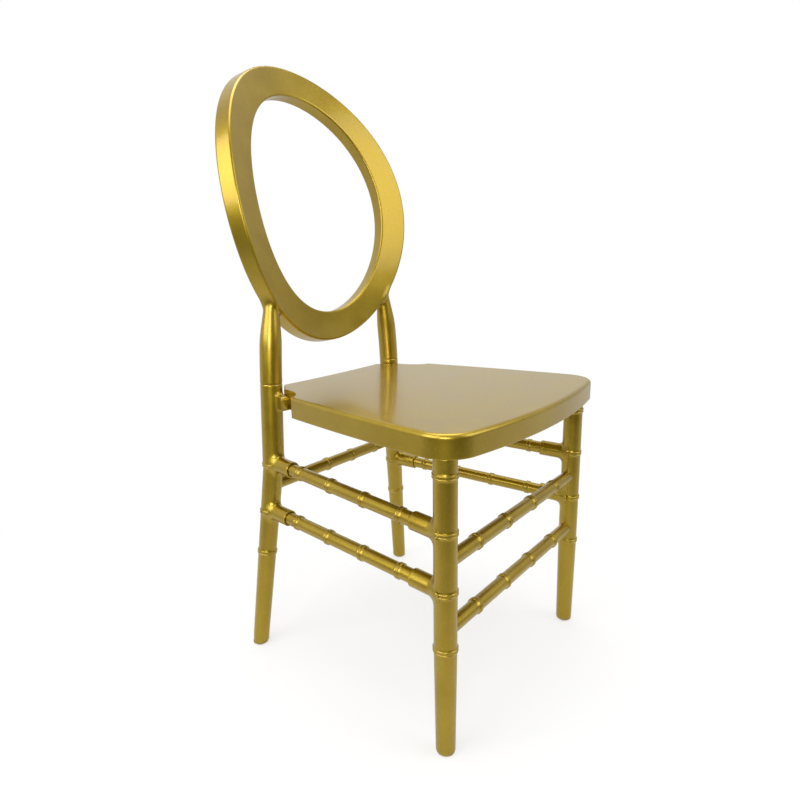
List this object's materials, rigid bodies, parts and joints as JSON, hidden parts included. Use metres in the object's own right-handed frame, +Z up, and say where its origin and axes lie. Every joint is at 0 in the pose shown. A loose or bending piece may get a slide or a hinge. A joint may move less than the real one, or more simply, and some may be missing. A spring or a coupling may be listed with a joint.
{
  "type": "dining chair",
  "caption": "Gold moulded-resin banquet chair with an oval ring back on two stalks, a flat shell seat and bamboo-noded legs tied together by turned rungs.",
  "frame": {"origin": "on the floor, under the middle of the chair's overall width and depth", "axes": "+Z up, -Y the way the sitter faces, -X the sitter's right hand"},
  "size_m": [0.4342, 0.5438, 0.945],
  "materials": {
    "gold_resin": "metallic gold, satin gloss",
    "glide_plastic": "matt",
    "steel": "zinc plated",
    "brass": "plain"
  },
  "bodies": {
    "root": {"back_ring": "gold_resin", "seat": "gold_resin", "front_leg_right": "gold_resin", "front_leg_left": "gold_resin", "rear_leg_right": "gold_resin", "rear_leg_left": "gold_resin", "front_stretcher_upper": "gold_resin", "front_stretcher_lower": "gold_resin", "rear_stretcher": "gold_resin", "side_stretcher_right_upper": "gold_resin", "side_stretcher_right_lower": "gold_resin", "side_stretcher_left_upper": "gold_resin", "side_stretcher_left_lower": "gold_resin", "foot_glide_front_right": "glide_plastic", "foot_glide_front_left": "glide_plastic", "foot_glide_rear_right": "glide_plastic", "foot_glide_rear_left": "glide_plastic", "post_dowel_right": "steel", "post_dowel_left": "steel", "dowel_screws": "steel", "seat_bolts_rear": "steel", "seat_washers_rear": "steel", "seat_screws_front": "steel", "stretcher_screws": "steel", "seat_inserts_rear": "brass"}
  },
  "joints": []
}
